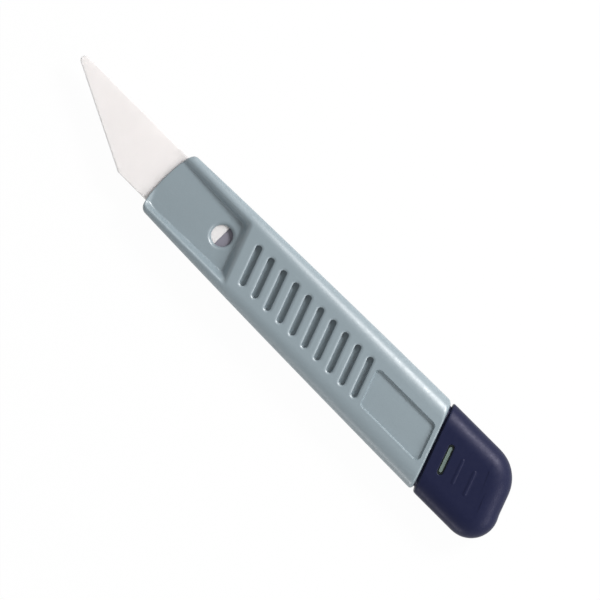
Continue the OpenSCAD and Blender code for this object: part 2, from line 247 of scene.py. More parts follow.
# Columns of the cap: their spacing, how far from both ends of its straight sides that starts and stops, those
# at a rib, the number round the rear, over how many of these the inward direction turns, and how often the
# outline's corners are eased
CAP_STEP = 0.7
CAP_STEPS_START = 1
CAP_STEPS_STOP = 0.3
RIB_LINES = (-0.6, -0.45, -0.32, -0.16, 0, 0.16, 0.32, 0.45, 0.6)
REAR_COLUMNS = 48
TURN_COLUMNS = 16
EASE_ROUNDS = 6

# Lines across the cap: round an edge, near the ribs' ends with their spread as shares of the flat width,
# from there to the edge, and between the two sides' ones
CAP_EDGE_LINES = 21
RIB_END_LINES = 12
RIB_END_SPREAD = (0.05, 0.1)
OUTER_LINES = 5
MIDDLE_LINES = 9

# Points along curves: on fine ones that are spaced anew later, and on outlines and walls of cutters
FINE_EDGE = 90
FINE_SPINE_CORNER = 60
FINE_HEEL_CORNER = 90
FINE_REAR_EDGE = 30
FINE_STRAIGHT = 12
FILLET_POINTS = 6
CIRCLE_POINTS = 96
ROUND_END_POINTS = 17
CORNER_POINTS = 9
FOOT_POINTS = 5
RIM_POINTS = 9
WALL_POINTS = 11

# Shading and clean-up of meshes. Edges sharper than the first angle stay crisp, and on the nodes that stay,
# those sharper than the second get a bevel. Points closer than the last two, in metres, are joined
SHARP_ANGLE = math.radians(32)
BEVEL_ANGLE = math.radians(40)
BEVEL_SEGMENTS = 2
MERGE_M = 1e-7
WELD_M = 1e-6


def smooth_min(a, b, k):
    """The lower of two heights, blended where they differ by less than k."""
    h = np.maximum(k - np.abs(a - b), 0) / k
    return np.minimum(a, b) - h * h * k / 4


def smooth_max(a, b, k):
    """The higher of two heights, blended where they differ by less than k."""
    return -smooth_min(-a, -b, k)


def place(points):
    """Points as u, y and z in millimetres, set in the frame in metres."""
    u, y, z = np.moveaxis(np.asarray(points, float), -1, 0)
    return np.stack([MOUTH_X - u, y, MID + z], -1) * MM


def half_width(u):
    """Half the width of the handle at a distance behind the mouth."""
    t = u / HANDLE_L
    return MOUTH_W / 2 + (REAR_W - MOUTH_W) / 2 * t + 4 * SIDE_BOW * t * np.maximum(1 - t, 0)


def half_thickness(u):
    """Half the thickness there: the nose tapers along the recess, the grip is even."""
    return smooth_min(MOUTH_T / 2 + (FACE_Z - MOUTH_T / 2) * u / RECESS_L, FACE_Z, NOSE_BLEND)


def edge_height(y, half_w, half_t, edge):
    """Height of a section with rounded edges at a place across it."""
    across, down = edge
    s = np.clip((np.abs(y) - (half_w - across)) / across, 0, 1)
    return half_t - down + down * np.sqrt(1 - s * s)


def edge_curve(half_w, half_t, edge):
    """Evenly spaced points of a rounded edge, from the inner lines to the middle of the side."""
    across, down = edge
    angle = np.linspace(0, math.pi / 2, FINE_EDGE)
    y = half_w - across + across * np.sin(angle)
    z = half_t - down + down * np.cos(angle)
    start = edge_height(INNER_Y, half_w, half_t, edge)
    y, z = y[y > INNER_Y], z[y > INNER_Y]
    y = np.concatenate([[INNER_Y], y, [half_w]])
    z = np.concatenate([[start], z, [0]])
    along = np.concatenate([[0], np.cumsum(np.hypot(np.diff(y), np.diff(z)))])
    steps = np.linspace(0, along[-1], EDGE_LINES + 1)[1:]
    return np.interp(steps, along, y), np.interp(steps, along, z)


def half_section(heel_w, spine_w, heel_t, spine_t, heel_edge, spine_edge):
    """Upper half of a section as y and z, from the middle of the heel side to that of the spine."""
    heel_y, heel_z = edge_curve(heel_w, heel_t, heel_edge)
    spine_y, spine_z = edge_curve(spine_w, spine_t, spine_edge)
    inner = np.concatenate([INNER_LINES[::-1], -INNER_LINES[1:]])
    inner_z = np.where(inner > 0, edge_height(inner, heel_w, heel_t, heel_edge),
                       edge_height(inner, spine_w, spine_t, spine_edge))
    y = np.concatenate([heel_y[::-1], inner, -spine_y])
    z = np.concatenate([heel_z[::-1], inner_z, spine_z])
    return y, z


def closed_loop(u, y, upper, lower):
    """One closed loop of u, y and z from an upper and a lower half that share their ends."""
    top = np.stack([u, y, upper], -1)
    bottom = np.stack([u, y, lower], -1)[-2:0:-1]
    return np.concatenate([top, bottom])


def edge_size(u):
    """How far the handle's rounded edge reaches across its face and down its side."""
    t = 1 - (1 - np.clip(u / HANDLE_L, 0, 1)) ** EDGE_GROWTH
    return tuple(m + (r - m) * t for m, r in zip(EDGE_MOUTH, EDGE_REAR))


def capsule_distance(u, y, centre, length, width):
    """Distance to the outline of a slanted bar with round ends, below zero inside it."""
    across = (u - centre) * math.cos(SLANT) - y * math.sin(SLANT)
    along = np.abs(y * math.cos(SLANT) + (u - centre) * math.sin(SLANT)) - (length - width) / 2
    return np.hypot(across, np.maximum(along, 0)) - width / 2


def sink_recess(u, y, z):
    """Height of a face of the handle after the finger recess is sunk in it."""
    foot = RECESS_W / 2 - (half_thickness(u) - RECESS_FLOOR) / RECESS_SIDE_RISE
    side = (np.abs(y - RECESS_Y) - foot) * RECESS_SIDE_RISE
    rear = FACE_Z - RECESS_FLOOR + (u - y * SLOPE - RECESS_L) * math.cos(SLANT) * RECESS_REAR_RISE
    lip = (LIP_U + LIP_LEAN * (y - LIP_Y) - u) / math.hypot(1, LIP_LEAN) * LIP_RISE
    rise = smooth_max(smooth_max(side, rear, RECESS_CORNER), lip, LIP_BLEND)
    return smooth_min(z, RECESS_FLOOR + smooth_max(rise, 0, FOOT_BLEND), RIM_BLEND)


def round_in(distance, radius):
    """How far a rounded edge draws in at a distance from the end."""
    d = np.clip(radius - distance, 0, radius)
    return radius - np.sqrt(radius * radius - d * d)


def mouth_bow(a, y, power):
    """How far the bowed mouth falls back at a place across it, less so further in."""
    return MOUTH_BOW * max(1 - a / RECESS_L, 0) ** BOW_FADE * np.abs(2 * y / MOUTH_W) ** power


def sleeve_loop(a):
    """Outer loop of the handle where a slanted station crosses the axis at a."""
    lean = SLOPE * min(a / (RECESS_L - RECESS_LEAD), 1)
    from_rear = HANDLE_L - a
    draw_w = round_in(a, MOUTH_R) + round_in(from_rear, REAR_CORNER)
    draw_t = round_in(a, MOUTH_FILLET) + round_in(from_rear, REAR_FILLET)
    heel_u, spine_u = a + lean * half_width(a), a - lean * half_width(a)
    y, z = half_section(half_width(heel_u) - draw_w, half_width(spine_u) - draw_w,
                        half_thickness(heel_u), half_thickness(spine_u),
                        edge_size(heel_u), edge_size(spine_u))
    u = a + lean * y + mouth_bow(a, y, BOW_POWER)
    side_t = np.where(y > 0, half_thickness(heel_u), half_thickness(spine_u))
    z = z * half_thickness(u) / side_t
    z = sink_recess(u, y, z) * (1 - draw_t / half_thickness(u))
    return closed_loop(u, y, z, -z)


def plain_loop(a, lean, heel_w, spine_w, half_h, radius):
    """Loop of an even section with rounded corners, such as the hollow's or the spigot's."""
    y, z = half_section(heel_w, spine_w, half_h, half_h, (radius, radius), (radius, radius))
    return closed_loop(a + lean * y, y, z, -z)


def steps_round(radius, count):
    """Distances from an end at which a rounded edge gets its loops."""
    return radius * (1 - np.cos(np.linspace(0, math.pi / 2, count)))


def sleeve_stations():
    """Places on the axis of the handle's outer loops, closest at the recess and at both ends."""
    wall_start, wall_end = WALL_ZONE
    return np.unique(np.round(np.concatenate([
        steps_round(MOUTH_R, MOUTH_CORNER_LOOPS),
        steps_round(MOUTH_FILLET, FILLET_POINTS),
        np.arange(MOUTH_R + MOUTH_STEP, MOUTH_ZONE, MOUTH_STEP),
        np.arange(MOUTH_ZONE + 2 * MOUTH_STEP, wall_start, RECESS_STEP),
        np.arange(wall_start, wall_end, WALL_STEP),
        np.arange(wall_end + 1.5 * WALL_STEP, HANDLE_L - REAR_CORNER, GRIP_STEP),
        HANDLE_L - steps_round(REAR_CORNER, REAR_LOOPS),
        HANDLE_L - steps_round(REAR_FILLET, REAR_LOOPS)]), LOOP_DECIMALS))


def mesh_from_loops(name, loops, closed):
    """Mesh whose faces join each loop to the next, and the last to the first if closed."""
    count = len(loops[0])
    points = place(np.concatenate(loops))
    faces = []
    for i in range(len(loops) if closed else len(loops) - 1):
        j = (i + 1) % len(loops)
        for k in range(count):
            m = (k + 1) % count
            faces.append((i * count + k, i * count + m, j * count + m, j * count + k))
    mesh = bpy.data.meshes.new(name)
    mesh.from_pydata(points.tolist(), [], faces)
    return mesh


def tidy_mesh(mesh):
    """Joins points that coincide, drops faces of no area and turns every face outwards."""
    bm = bmesh.new()
    bm.from_mesh(mesh)
    bmesh.ops.remove_doubles(bm, verts=bm.verts, dist=MERGE_M)
    bmesh.ops.dissolve_degenerate(bm, edges=bm.edges, dist=MERGE_M)
    bmesh.ops.recalc_face_normals(bm, faces=bm.faces)
    bm.to_mesh(mesh)
    bm.free()


def new_object(name, mesh):
    """Object with that mesh, in the scene."""
    made = bpy.data.objects.new(name, mesh)
    bpy.context.scene.collection.objects.link(made)
    return made


def cut_away(piece, cutters):
    """Cuts the cutters, which lie apart, out of a piece and leaves a plain mesh."""
    tools = bpy.data.collections.new("cutters")
    for cutter in cutters:
        tools.objects.link(cutter)
    cut = piece.modifiers.new("cut", "BOOLEAN")
    cut.operation = "DIFFERENCE"
    cut.solver = "EXACT"
    cut.operand_type = "COLLECTION"
    cut.collection = tools
    bpy.context.view_layer.update()
    shaped = bpy.data.meshes.new_from_object(piece.evaluated_get(bpy.context.evaluated_depsgraph_get()))
    piece.modifiers.clear()
    piece.data = shaped
    for cutter in cutters:
        bpy.data.objects.remove(cutter)
    bpy.data.collections.remove(tools)


def smooth_shade(piece):
    """Smooth shading led by the larger faces, with sharp edges kept crisp."""
    piece.data.shade_smooth()
    piece.data.set_sharp_from_angle(angle=SHARP_ANGLE)
    shading = piece.modifiers.new("shading", "WEIGHTED_NORMAL")
    shading.keep_sharp = True


def close_ends(mesh, *ends):
    """Closes a mesh with a face over each end, given as the range of that end's points."""
    bm = bmesh.new()
    bm.from_mesh(mesh)
    bm.verts.ensure_lookup_table()
    for end in ends:
        bm.faces.new(bm.verts[end])
    bmesh.ops.recalc_face_normals(bm, faces=bm.faces)
    bm.to_mesh(mesh)
    bm.free()


def levelled_solid(name, outline, levels):
    """Closed solid whose outline of u and y is drawn for each level, by its change in size and its z."""
    loops = []
    for change, z in levels:
        plan = outline(change)
        loops.append(np.column_stack([plan, np.full(len(plan), z)]))
    mesh = mesh_from_loops(name, loops, False)
    count = len(loops[0])
    close_ends(mesh, slice(count), slice(-count, None))
    return new_object(name, mesh)


def rounded_levels(bottom, top, rim, foot=0, start=0):
    """Growth and height of a cutter's levels: round foot, straight wall, and a rim that flares from start."""
    foot_turn = np.linspace(0, math.pi / 2, FOOT_POINTS) if foot else [math.pi / 2]
    levels = [(foot * (math.sin(t) - 1), bottom + foot * (1 - math.cos(t))) for t in foot_turn]
    rim_turn = np.linspace(start, RIM_END, RIM_POINTS)
    levels += [(rim * (math.cos(start) - math.cos(t)), top - rim + rim * math.sin(t)) for t in rim_turn]
    grow, z = levels[-1]
    over = top + RIM_OVER - z
    reach = grow + over * math.tan(RIM_END)
    return levels + [(reach, z + over), (reach, z + CUT_OVER)]


def sloping_levels(bottom, top, width):
    """Growth and height of a cutter's levels: a wall that eases out of its foot and into its rim."""
    turn = np.linspace(0, math.pi, WALL_POINTS)
    rise = (top - bottom) * WALL_OVER * (1 - np.cos(turn)) / 2
    levels = [(width * (t / math.pi - 0.5), bottom + z) for t, z in zip(turn, rise)]
    return levels + [(width / 2, top + CUT_OVER)]


def circle_outline(u, y, radius):
    """Outline of a round hole, its points half a step off the lines of the grid that it cuts."""
    angles = (np.arange(CIRCLE_POINTS) + 0.5) * 2 * math.pi / CIRCLE_POINTS
    return lambda grow: np.column_stack([u + (radius + grow) * np.cos(angles),
                                         y + (radius + grow) * np.sin(angles)])


def bar_outline(u, length, width, y=0):
    """Outline of a slanted slot with round ends, slid along its slant to y."""
    def outline(grow):
        radius = width / 2 + grow
        end = (length - width) / 2
        half = np.linspace(0, math.pi, ROUND_END_POINTS)
        angles = np.concatenate([half, half + math.pi])
        shift = np.repeat([end, -end], len(half))
        across = radius * np.cos(angles)
        along = radius * np.sin(angles) + shift
        return np.column_stack([u + y * SLOPE + across * math.cos(SLANT) + along * math.sin(SLANT),
                                y + along * math.cos(SLANT) - across * math.sin(SLANT)])
    return outline


def slanted_outline(u, y, length, width, corner):
    """Outline of a slanted four-sided opening with rounded corners."""
    facing = [-SLANT, math.pi / 2, math.pi - SLANT, 1.5 * math.pi, 2 * math.pi - SLANT]
    half_l = length / 2 - corner / math.cos(SLANT)
    half_w = width / 2 - corner

    def outline(grow):
        points = []
        for i, (end, side) in enumerate([(1, 1), (-1, 1), (-1, -1), (1, -1)]):
            turn = np.linspace(facing[i], facing[i + 1], CORNER_POINTS)
            centre_y = y + side * half_w
            centre_u = u + end * half_l + centre_y * SLOPE
            points.append(np.column_stack([centre_u + (corner + grow) * np.cos(turn),
                                           centre_y + (corner + grow) * np.sin(turn)]))
        return np.concatenate(points)
    return outline


def build_sleeve():
    """Handle: nose with its recess and window, grip, slanted rear end, spigot and hollow."""
    loops = [sleeve_loop(a) for a in sleeve_stations()]
    spigot = [(HANDLE_L + back, SLOPE * share, 0) for back, share in SPIGOT_TURN]
    spigot += [(SPIGOT_END - SPIGOT_CHAMFER, 0, 0), (SPIGOT_END, 0, SPIGOT_CHAMFER)]
    for a, lean, draw in spigot:
        loops.append(plain_loop(a, lean, SPIGOT_W - draw, SPIGOT_W - draw, SPIGOT_H - draw, SPIGOT_R))
    for a in (SPIGOT_END, PASSAGE_END):
        loops.append(plain_loop(a, 0, HOLLOW_W, HOLLOW_W, HOLLOW_H, HOLLOW_R))
    for a, grow in ((PASSAGE_END, 0), *PASSAGE_FLARE):
        loop = plain_loop(a, 0, PASSAGE_HEEL + grow, PASSAGE_SPINE + grow, PASSAGE_H + grow, HOLLOW_R)
        loop[:, 0] += mouth_bow(a, loop[:, 1], PASSAGE_BOW_POWER)
        loops.append(loop)
    mesh = mesh_from_loops("handle_shell", loops, True)
    tidy_mesh(mesh)
    shell = new_object("handle_shell", mesh)
    window = circle_outline(WINDOW_U, 0, WINDOW_D / 2)
    panel = slanted_outline(PANEL_U, PANEL_Y, PANEL_L, PANEL_H, PANEL_CORNER)
    latch_mid = (LATCH_START + LATCH_END) / 2
    latch = slanted_outline(latch_mid, 0, LATCH_END - LATCH_START, LATCH_W, LATCH_CORNER)
    cutters = [
        levelled_solid("window", window, rounded_levels(0, RECESS_FLOOR, WINDOW_FILLET)),
        levelled_solid("panel", panel, sloping_levels(FACE_Z - PANEL_DEEP, FACE_Z, PANEL_SLOPE)),
        levelled_solid("latch_opening", latch, [(0, HOLLOW_H - CUT_OVER), (0, SPIGOT_H + CUT_OVER)])]
    levels = rounded_levels(FACE_Z - GROOVE_DEEP, FACE_Z, GROOVE_RIM, GROOVE_FOOT, GROOVE_RIM_START)
    for i in range(GROOVE_COUNT):
        groove = bar_outline(GROOVE_START + i * GROOVE_PITCH, GROOVE_L, GROOVE_W, GROOVE_Y)
        cutters.append(levelled_solid("groove", groove, levels))
        cutters.append(levelled_solid("groove", groove, [(grow, -z) for grow, z in levels]))
    cut_away(shell, cutters)
    smooth_shade(shell)
    return shell


def rear_paths(count):
    """Outline of the cap's rear as u and y on each side, from its straight sides to where they meet."""
    turn = np.linspace(-math.pi / 2, -SLANT, FINE_SPINE_CORNER)
    spine = np.column_stack([SPINE_CORNER[0] + SPINE_CORNER_R * np.cos(turn),
                             SPINE_CORNER[1] + SPINE_CORNER_R * np.sin(turn)])
    start = HEEL_CORNER[0] - 2 * CAP_SIDE * SLOPE
    edge_y = np.linspace(spine[-1, 1], REAR_EDGE_Y, FINE_REAR_EDGE)[1:]
    edge = np.column_stack([spine[-1, 0] + (edge_y - spine[-1, 1]) * SLOPE, edge_y])
    straight_u = np.linspace(start, SPINE_CORNER[0], FINE_STRAIGHT)[:-1]
    straight = np.column_stack([straight_u, np.full(len(straight_u), -CAP_SIDE)])
    spine = np.concatenate([straight, spine, edge])
    meet = math.atan2(REAR_EDGE_Y - HEEL_CORNER[1], edge[-1, 0] - HEEL_CORNER[0])
    turn = np.linspace(math.pi / 2, meet, FINE_HEEL_CORNER)
    heel = np.column_stack([HEEL_CORNER[0] + HEEL_CORNER_R * np.cos(turn),
                            HEEL_CORNER[1] + HEEL_CORNER_R * np.sin(turn)])
    heel[-1] = spine[-1]
    return resampled(spine, count), resampled(heel, count)


def resampled(path, count):
    """Evenly spaced points along a path."""
    along = np.concatenate([[0], np.cumsum(np.hypot(*np.diff(path, axis=0).T))])
    steps = np.linspace(0, along[-1], count + 1)
    return np.column_stack([np.interp(steps, along, path[:, i]) for i in (0, 1)])


def eased(path, rounds):
    """Path with its corners eased, ends kept."""
    path = path.copy()
    for _ in range(rounds):
        path[1:-1] = (path[:-2] + 2 * path[1:-1] + path[2:]) / 4
    return path


def cap_columns():
    """Outline of the cap on each side with its inward directions, from the front to the rear."""
    straight_end = HEEL_CORNER[0] - CAP_SIDE * SLOPE
    ribs = [middle + line for middle in RIB_PLACES for line in RIB_LINES]
    a = np.unique(np.round(np.concatenate([
        CAP_FRONT + steps_round(CAP_FILLET, FILLET_POINTS),
        CAP_FRONT + steps_round(CAP_CORNER, FILLET_POINTS),
        np.arange(CAP_FRONT + CAP_STEPS_START, straight_end - CAP_STEPS_STOP, CAP_STEP),
        ribs, [straight_end]]), LOOP_DECIMALS))
    spine, heel = rear_paths(REAR_COLUMNS)
    spine = np.concatenate([np.column_stack([a - CAP_SIDE * SLOPE, np.full(len(a), -CAP_SIDE)]), spine[1:]])
    heel = np.concatenate([np.column_stack([a + CAP_SIDE * SLOPE, np.full(len(a), CAP_SIDE)]), heel[1:]])
    whole = eased(np.concatenate([spine, heel[-2::-1]]), EASE_ROUNDS)
    whole[:len(a)] = spine[:len(a)]
    whole[-len(a):] = heel[len(a) - 1::-1]
    tangent = np.gradient(whole, axis=0)
    tangent /= np.hypot(*tangent.T)[:, None]
    inward = np.column_stack([-tangent[:, 1], tangent[:, 0]])
    count = len(spine)
    spine_in, heel_in = inward[:count], inward[:count - 2:-1]
    turn = np.clip((np.arange(count) - len(a) + 1) / TURN_COLUMNS, 0, 1)[:, None]
    turn = turn * turn * (3 - 2 * turn)
    spine_in = turn * spine_in + (1 - turn) * np.array([SLOPE, 1])
    heel_in = turn * heel_in + (1 - turn) * np.array([-SLOPE, -1])
    return a, (whole[:count], spine_in), (whole[:count - 2:-1], heel_in)


def build_cap():
    """Cap: rounded shell with its slot, low ribs, and a socket with a collar at the front."""
    a, (spine, spine_in), (heel, heel_in) = cap_columns()
    angle = np.linspace(math.pi / 2, 0, CAP_EDGE_LINES)
    draw = np.concatenate([[0, 0], CAP_EDGE[0] * (1 - np.sin(angle))])
    rise = FACE_Z - CAP_EDGE[1] + CAP_EDGE[1] * np.cos(angle)
    rise = np.concatenate([[0, rise[0] / 2], rise])
    rib_end = (CAP_SIDE - CAP_EDGE[0] - RIB_L / 2 * math.cos(SLANT)) / (CAP_SIDE - CAP_EDGE[0]) / 2
    near_end = np.linspace(rib_end - RIB_END_SPREAD[0], rib_end + RIB_END_SPREAD[1], RIB_END_LINES)
    flat = np.unique(np.concatenate([
        np.linspace(0, near_end[0], OUTER_LINES)[1:], near_end,
        np.linspace(near_end[-1], 1 - near_end[-1], MIDDLE_LINES),
        1 - near_end[::-1], np.linspace(1 - near_end[0], 1, OUTER_LINES)[:-1]]))
    loops = []
    for i in range(len(spine)):
        from_front = a[i] - CAP_FRONT if i < len(a) else CAP_CORNER
        corner = round_in(from_front, CAP_CORNER)
        heel_part = heel[i] + heel_in[i] * (draw + corner)[:, None]
        spine_part = spine[i] + spine_in[i] * (draw + corner)[:, None]
        middle = heel_part[-1] + (spine_part[-1] - heel_part[-1]) * flat[:, None]
        plan = np.concatenate([heel_part, middle, spine_part[::-1]])
        z = np.concatenate([rise, np.full(len(flat), rise[-1]), rise[::-1]])
        z = z * (1 - round_in(from_front, CAP_FILLET) / FACE_Z)
        ribs = np.zeros(len(plan))
        for rib_u in RIB_PLACES:
            bar = capsule_distance(plan[:, 0], plan[:, 1], rib_u, RIB_L, RIB_W)
            ribs = np.maximum(ribs, RIB_H * np.sqrt(1 - np.clip(1 + bar / (RIB_W / 2), 0, 1) ** 2))
        loops.append(closed_loop(plan[:, 0], plan[:, 1], z + ribs, -z))
    socket = []
    for u, lean in ((SOCKET_END, 0), (CAP_FRONT, SLOPE), (COLLAR_FRONT, SLOPE)):
        socket.append(socket_loop(u, lean, SOCKET_W, SOCKET_H, SOCKET_EDGE, len(draw), flat))
    # Collar loops: the dark step put into the join's gap as painted shade.
    for u in (COLLAR_FRONT, CAP_FRONT):
        socket.append(socket_loop(u, SLOPE, COLLAR_W, COLLAR_H, COLLAR_EDGE, len(draw), flat))
    loops = socket + loops
    mesh = mesh_from_loops("cap_shell", loops, False)
    close_ends(mesh, slice(len(loops[0])))
    tidy_mesh(mesh)
    shell = new_object("cap_shell", mesh)
    slot = levelled_solid("slot", bar_outline(SLOT_U, SLOT_L, SLOT_W),
                          rounded_levels(SOCKET_H - CUT_OVER, FACE_Z, SLOT_FILLET))
    cut_away(shell, [slot])
    smooth_shade(shell)
    return shell


def socket_loop(u, lean, half_w, half_h, edge, edge_count, flat):
    """Loop of the cap's socket or collar with as many points as a loop of its outside."""
    angle = np.linspace(math.pi / 2, 0, edge_count - 1)
    y = half_w - edge[0] + edge[0] * np.sin(angle)
    z = half_h - edge[1] + edge[1] * np.cos(angle)
    y = np.concatenate([[y[0]], y])
    z = np.concatenate([[0], z])
    middle = y[-1] - 2 * y[-1] * flat
    across = np.concatenate([y, middle, -y[::-1]])
    height = np.concatenate([z, np.full(len(flat), z[-1]), z[::-1]])
    return closed_loop(u + lean * across, across, height, -height)


def blade_outline(spine_in, edge_in, heel_in, tang_in):
    """Outline of the blade as u and y, drawn in at its spine, cutting edge, heel side and tang."""
    low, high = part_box("ceramic_blade")
    tip, tang = MOUTH_X - high.x / MM, MOUTH_X - low.x / MM
    spine, heel = low.y / MM, high.y / MM
    centre = np.array([tip + TIP_R, spine + TIP_R])
    to_heel = np.array([tip + EDGE_L, heel]) - centre
    facing = math.atan2(to_heel[1], to_heel[0]) + math.acos(TIP_R / math.hypot(*to_heel))
    turn = np.linspace(1.5 * math.pi, facing, TIP_POINTS)
    reach = TIP_R - np.linspace(spine_in, edge_in, TIP_POINTS)
    nose = centre + reach[:, None] * np.column_stack([np.cos(turn), np.sin(turn)])
    heel_u = tip + EDGE_L + (heel_in * math.sin(facing) - edge_in) / math.cos(facing)
    corners = [(heel_u, heel - heel_in), (tang - tang_in, heel - heel_in), (tang - tang_in, spine + spine_in)]
    return np.concatenate([nose, corners])


def build_blade():
    """Blade: flat plate with a narrow bevel above and a wider one below, which meet at the cutting edge."""
    low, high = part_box("ceramic_blade")
    bottom, top = low.z / MM - MID, high.z / MM - MID
    edge_z = top - UPPER_DROP
    near_bottom = LOWER_BEVEL * (1 - EDGE_BREAK / (edge_z - bottom))
    levels = [((EDGE_BREAK, LOWER_BEVEL, EDGE_BREAK, EDGE_BREAK), bottom),
              ((0, near_bottom, 0, 0), bottom + EDGE_BREAK),
              ((0, 0, 0, 0), edge_z),
              ((EDGE_BREAK, UPPER_BEVEL, HEEL_BREAK, EDGE_BREAK), top)]
    return levelled_solid("blade_plate", lambda drawn_in: blade_outline(*drawn_in), levels)


class Nodes:
    """A material's node tree, with short calls for what the finishes here share."""

    def __init__(self, name):
        self.material = bpy.data.materials.new(name)
        self.material.use_nodes = True
        self.tree = self.material.node_tree
        self.tree.nodes.clear()
        self.output = self.add("ShaderNodeOutputMaterial")
        self.shader = self.add("ShaderNodeBsdfPrincipled")
        self.link(self.shader.outputs["BSDF"], self.output.inputs["Surface"])
        self.place = self.add("ShaderNodeTexCoord").outputs["Object"]

    def add(self, kind, **settings):
        """New node of a kind, with its settings."""
        node = self.tree.nodes.new(kind)
        for key, value in settings.items():
            setattr(node, key, value)
        return node

    def link(self, source, target):
        """Link from an output to an input."""
        self.tree.links.new(source, target)

    def set(self, **values):
        """Values that are the same all over, on the shader's own sockets."""
        for key, value in values.items():
            self.shader.inputs[key.replace("_", " ")].default_value = value

    def noise(self, size, detail=2, stretch=(1, 1, 1)):
        """Noise with features of about that size in metres, drawn out along an axis by stretch."""
        mapping = self.add("ShaderNodeMapping")
        mapping.inputs["Scale"].default_value = [1 / (size * s) for s in stretch]
        self.link(self.place, mapping.inputs["Vector"])
        noise = self.add("ShaderNodeTexNoise")
        noise.inputs["Scale"].default_value = 1
        noise.inputs["Detail"].default_value = detail
        self.link(mapping.outputs["Vector"], noise.inputs["Vector"])
        return noise.outputs["Fac"]

    def span(self, value, low, high, start=0.3, stop=0.7):
        """A value brought from start and stop to the range from low to high."""
        scale = self.add("ShaderNodeMapRange")
        for key, number in (("From Min", start), ("From Max", stop), ("To Min", low), ("To Max", high)):
            scale.inputs[key].default_value = number
        self.link(value, scale.inputs["Value"])
        return scale.outputs["Result"]

    def blend(self, factor, first, second):
        """Mix of two colours, each a colour or a socket."""
        mix = self.add("ShaderNodeMix", data_type="RGBA")
        self.link(factor, mix.inputs["Factor"])
        for socket, colour in ((mix.inputs["A"], first), (mix.inputs["B"], second)):
            if isinstance(colour, tuple):
                socket.default_value = (*colour, 1)
            else:
                self.link(colour, socket)
        return mix.outputs["Result"]

    def bump(self, height, depth, under=None):
        """Bump of about that depth in metres, over another one if given."""
        bump = self.add("ShaderNodeBump")
        bump.inputs["Strength"].default_value = 1
        bump.inputs["Distance"].default_value = depth
        self.link(height, bump.inputs["Height"])
        if under:
            self.link(under, bump.inputs["Normal"])
        return bump.outputs["Normal"]

    def finish(self, colour, roughness, normal):
        """The material, with what changes over its surface linked to the shader."""
        self.link(colour, self.shader.inputs["Base Color"])
        self.link(roughness, self.shader.inputs["Roughness"])
        self.link(normal, self.shader.inputs["Normal"])
        return self.material


def shade(colour, factor):
    """Colour made lighter or darker."""
    return tuple(min(c * factor, 1) for c in colour)


def moulded_plastic(name, colour, roughness, gloss, sheen=(1, 1, 1)):
    """Plastic from a mould with a fine satin grain, faint flow marks and light scuffs."""
    m = Nodes(name)
    flow = m.span(m.noise(0.02, detail=3, stretch=(3, 1, 1)), 0, 1)
    speckle = m.span(m.noise(0.0004), 0, 1)
    scuffs = m.span(m.noise(0.0006, detail=3, stretch=(14, 1, 1)), 0, 0.2, start=0.64, stop=0.78)
    tint = m.blend(flow, shade(colour, 0.95), shade(colour, 1.05))
    tint = m.blend(m.span(speckle, 0, 0.3, start=0, stop=1), tint, shade(colour, 1.12))
    tint = m.blend(scuffs, tint, shade(colour, 1.3))
    rough = m.span(m.noise(0.0012, detail=3), roughness - 0.05, roughness + 0.07)
    grain = m.bump(m.noise(0.00025), 0.000012)
    m.set(IOR=1.5, Specular_IOR_Level=gloss, Specular_Tint=(*sheen, 1))
    return m.finish(tint, rough, m.bump(flow, 0.00002, grain))


def ground_ceramic(name, colour):
    """Matte white ceramic with faint mottling and fine grinding lines across the blade."""
    m = Nodes(name)
    mottle = m.span(m.noise(0.012, detail=3), 0, 1)
    lines = m.noise(0.00015, stretch=(1, 40, 40))
    tint = m.blend(mottle, shade(colour, 0.97), shade(colour, 1.01))
    tint = m.blend(m.span(lines, 0, 0.25), tint, shade(colour, 0.95))
    rough = m.span(lines, 0.42, 0.56)
    m.set(IOR=1.7, Specular_IOR_Level=0.4, Subsurface_Weight=0.7, Subsurface_Scale=0.0015)
    m.set(Subsurface_Radius=(1, 1, 1))
    grain = m.bump(m.noise(0.0002), 0.000003)
    return m.finish(tint, rough, m.bump(lines, 0.000002, grain))


def rolled_steel(name, colour):
    """Steel with fine rolling streaks along it."""
    m = Nodes(name)
    streaks = m.noise(0.0001, detail=3, stretch=(60, 1, 1))
    patina = m.span(m.noise(0.004, detail=3), 0, 1)
    tint = m.blend(patina, shade(colour, 0.85), shade(colour, 1.1))
    m.set(Metallic=1)
    return m.finish(tint, m.span(streaks, 0.24, 0.42), m.bump(streaks, 0.000003))


def dress(node, material, bevel=0):
    """Finish for a node that stays, with its edges broken by a small bevel."""
    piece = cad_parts[node]
    piece.data.materials.clear()
    piece.data.materials.append(material)
    if bevel:
        weld = piece.modifiers.new("weld", "WELD")
        weld.merge_threshold = WELD_M
        edge = piece.modifiers.new("edges", "BEVEL")
        edge.width = bevel
        edge.segments = BEVEL_SEGMENTS
        edge.limit_method = "ANGLE"
        edge.angle_limit = BEVEL_ANGLE
        edge.harden_normals = True


def combined(tree, operation, first, second):
    """Two values put together in a node tree, each a socket or a number."""
    node = tree.nodes.new("ShaderNodeMath")
    node.operation = operation
    for socket, value in zip(node.inputs, (first, second)):
        if isinstance(value, float):
            socket.default_value = value
        else:
            tree.links.new(value, socket)
    return node.outputs[0]


